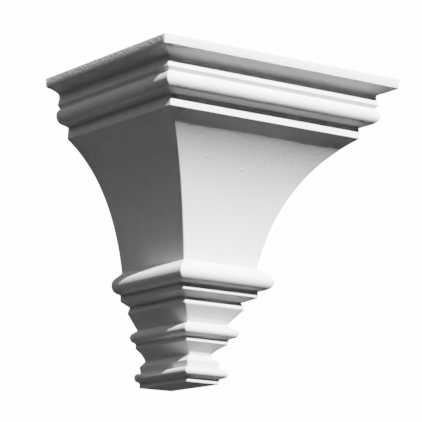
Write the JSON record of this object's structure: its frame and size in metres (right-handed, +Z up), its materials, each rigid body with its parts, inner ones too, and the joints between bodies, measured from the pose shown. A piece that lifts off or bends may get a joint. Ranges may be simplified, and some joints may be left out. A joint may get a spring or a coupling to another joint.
{
  "type": "corbel",
  "caption": "Wall corbel with a flat back: a slab with a moulded cornice over a concave flared body that narrows to rolls, necks and a small foot.",
  "frame": {"origin": "on the wall plane, in the middle of the flat back: midway across the width and midway between the slab's top and the foot's lower face", "axes": "+Y out of the flat back, into the wall; -Y to the front; +X along the wall, to the right of someone who faces the corbel; +Z up, towards the slab's top"},
  "size_m": [0.3, 0.234, 0.325],
  "materials": {
    "white_plaster": "matt white coat on smooth cast plaster, faintly uneven, with softened arrises"
  },
  "bodies": {
    "root": {"corbel": "white_plaster"}
  },
  "joints": []
}
